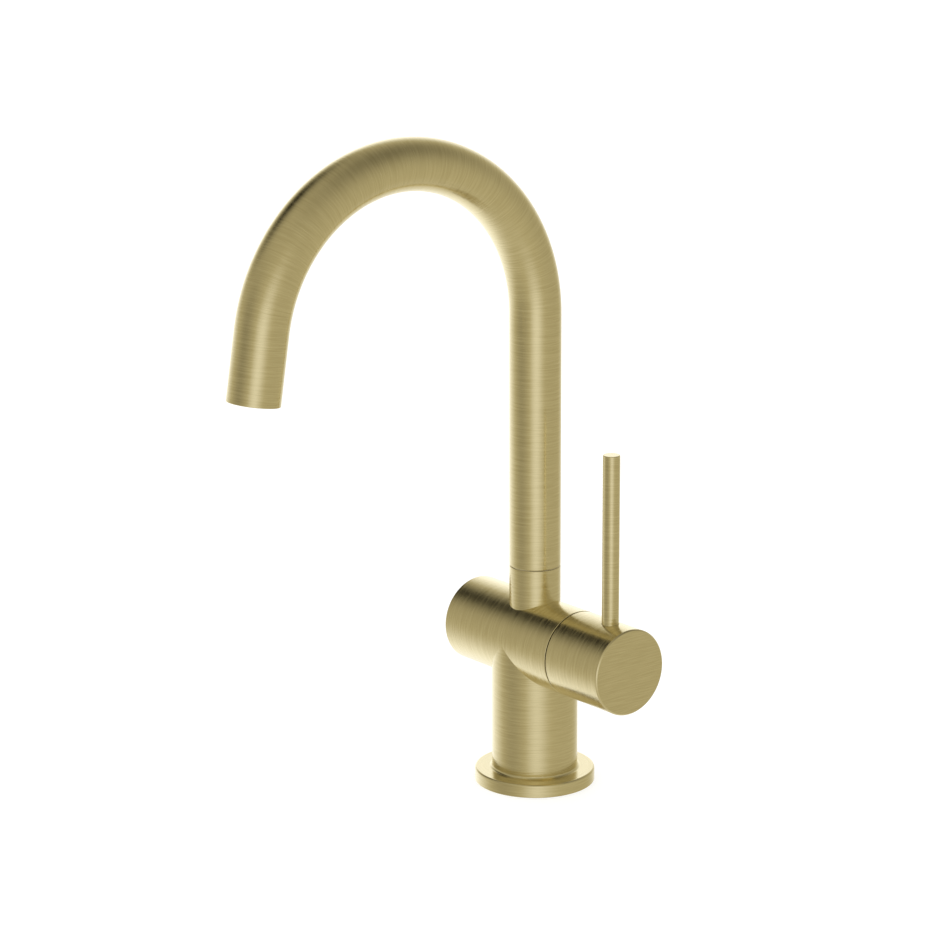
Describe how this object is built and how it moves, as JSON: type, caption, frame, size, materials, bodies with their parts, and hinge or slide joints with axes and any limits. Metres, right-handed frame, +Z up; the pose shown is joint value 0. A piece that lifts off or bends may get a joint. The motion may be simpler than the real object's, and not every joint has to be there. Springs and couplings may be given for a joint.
{
  "type": "bathroom mixer faucet",
  "caption": "Brushed brass basin mixer: T-shaped round body, tall swivelling gooseneck spout, side handle turned by a thin pin lever, with cartridge, aerator and deck fixing",
  "frame": {"origin": "centre of the base's underside, on the deck", "axes": "+Z up, -Y towards the user and the way the spout points at rest, +X the handle side"},
  "size_m": [0.1146, 0.2057, 0.3847],
  "materials": {
    "brushed_brass": "fine brushed, satin, physical vapour coated",
    "raw_brass": "machined",
    "steel": "zinc plated or plain stainless, machined",
    "rubber": "moulded, matt",
    "white_plastic": "moulded",
    "dark_plastic": "moulded, slippery",
    "ceramic": "lapped flat"
  },
  "bodies": {
    "base": {"body": "brushed_brass", "arm_end_plug": "brushed_brass", "fixing_nut": "raw_brass", "cartridge_nut": "raw_brass", "fixing_steel_washer": "steel", "fixing_stud": "steel", "spout_retaining_screw": "steel", "arm_end_oring": "rubber", "base_gasket": "rubber", "fixing_rubber_washer": "rubber", "cartridge_seal_cold": "rubber", "cartridge_seal_hot": "rubber", "cartridge_oring": "rubber", "cartridge_base": "white_plastic", "cartridge_housing": "white_plastic", "handle_slide_ring": "dark_plastic", "spout_slide_ring": "dark_plastic", "ceramic_disc_fixed": "ceramic"},
    "handle": {"ceramic_disc_moving": "ceramic", "cartridge_stem": "raw_brass", "handle_spline_insert": "white_plastic", "handle_knob": "brushed_brass", "handle_pin": "brushed_brass", "handle_grub_screw": "steel"},
    "spout": {"spout_tube": "brushed_brass", "spout_foot": "raw_brass", "spout_oring_lower": "rubber", "spout_oring_upper": "rubber", "outlet_bush": "raw_brass", "aerator_housing": "white_plastic", "aerator_insert": "white_plastic", "flow_regulator": "dark_plastic", "aerator_washer": "rubber"}
  },
  "joints": [
    {"name": "handle_turn", "type": "hinge", "parent": "base", "child": "handle", "pos_m": [0.056, 0, 0.0724], "axis": [1, 0, 0], "range_deg": [0, 90]},
    {"name": "spout_swivel", "type": "hinge", "parent": "base", "child": "spout", "pos_m": [0, 0, 0.11], "axis": [0, 0, 1], "continuous": true}
  ]
}
